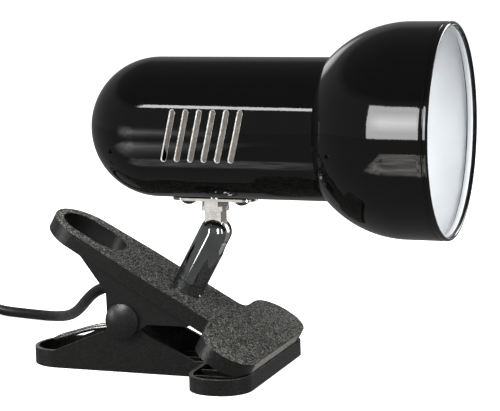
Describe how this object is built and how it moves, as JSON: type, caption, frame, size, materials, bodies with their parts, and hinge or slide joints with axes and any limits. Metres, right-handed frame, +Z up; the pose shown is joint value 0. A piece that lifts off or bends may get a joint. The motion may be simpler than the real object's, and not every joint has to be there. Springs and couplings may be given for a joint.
{
  "type": "clip-on reading lamp",
  "caption": "Spot lamp with a gloss black metal head, ball knuckle and chrome swivel tube on a sprung plastic clip, with mains cord, inline switch and plug.",
  "frame": {"origin": "centre of the lamp's footprint box on the surface the clip stands on, without the cord and what is on it", "axes": "+X towards the head's opening and the jaws' mouth, +Z up, +Y to the left of that direction"},
  "size_m": [0.3925, 0.1805, 0.1701],
  "materials": {
    "black_paint": "high gloss stoved paint outside, white inside the bowl",
    "chrome": "polished plating",
    "zinc": "bright zinc plating",
    "holder_plastic": "fine fluting",
    "ceramic": "semi-matt",
    "brass": "plain",
    "opal_glass": "opal white",
    "cap_metal": "rolled thread",
    "seat_plastic": "smooth",
    "spring_steel": "drawn wire",
    "jaw_plastic": "pebbled moulding on the outside, smooth inside",
    "pad_rubber": "pebbled grip",
    "cap_plastic": "satin",
    "cord_rubber": "satin PVC sheath"
  },
  "bodies": {
    "lower_jaw": {"lower_jaw": "jaw_plastic", "strain_relief": "cord_rubber", "torsion_spring": "spring_steel", "cord_lead": "cord_rubber", "switch_base": "cap_plastic", "switch_cover": "cap_plastic", "cord_link": "cord_rubber", "cord_coil": "cord_rubber", "coil_tie": "cap_plastic", "cord_tail": "cord_rubber", "plug_body": "cord_rubber", "plug_pins": "chrome"},
    "upper_jaw": {"upper_jaw": "jaw_plastic", "grip_pad": "pad_rubber", "pivot_pin": "zinc", "pivot_caps": "cap_plastic", "tube_ferrule": "chrome", "tube_nipple": "zinc", "nipple_washer": "zinc", "nipple_nut": "zinc"},
    "swivel_tube": {"swivel_tube": "chrome", "ball_seat": "seat_plastic", "friction_spring": "spring_steel"},
    "head": {"rear_housing": "black_paint", "front_bowl": "black_paint", "bracket_plate": "chrome", "plate_screws": "zinc", "plate_nuts": "zinc", "stem_nut": "chrome", "knuckle_stem": "chrome", "inner_lock_nut": "zinc", "lampholder_bracket": "zinc", "lampholder_body": "holder_plastic", "lampholder_insert": "ceramic", "screw_shell": "brass", "centre_contact": "brass", "terminal_screws": "brass", "bulb_globe": "opal_glass", "bulb_cap": "cap_metal"},
    "rocker": {"switch_rocker": "cap_plastic"}
  },
  "joints": [
    {"name": "clip_open", "type": "hinge", "parent": "lower_jaw", "child": "upper_jaw", "pos_m": [-0.0523, 0, 0.0263], "axis": [0, -1, 0], "range_deg": [0, 24], "stiffness_Nm_per_rad": 1.2, "springref_deg": -68.75, "deforming": ["torsion_spring"]},
    {"name": "tube_swivel", "type": "hinge", "parent": "upper_jaw", "child": "swivel_tube", "pos_m": [-0.01, 0, 0.0685], "axis": [0.4848, 0, 0.8746], "range_deg": [-170, 170]},
    {"name": "head_tilt", "type": "hinge", "parent": "swivel_tube", "child": "head", "pos_m": [-0.01, 0, 0.0685], "axis": [0, 1, 0], "range_deg": [0, 34]},
    {"name": "rocker_press", "type": "hinge", "parent": "lower_jaw", "child": "rocker", "pos_m": [-0.214, 0.0845, 0.011], "axis": [0, 1, 0], "range_deg": [0, 10]}
  ]
}
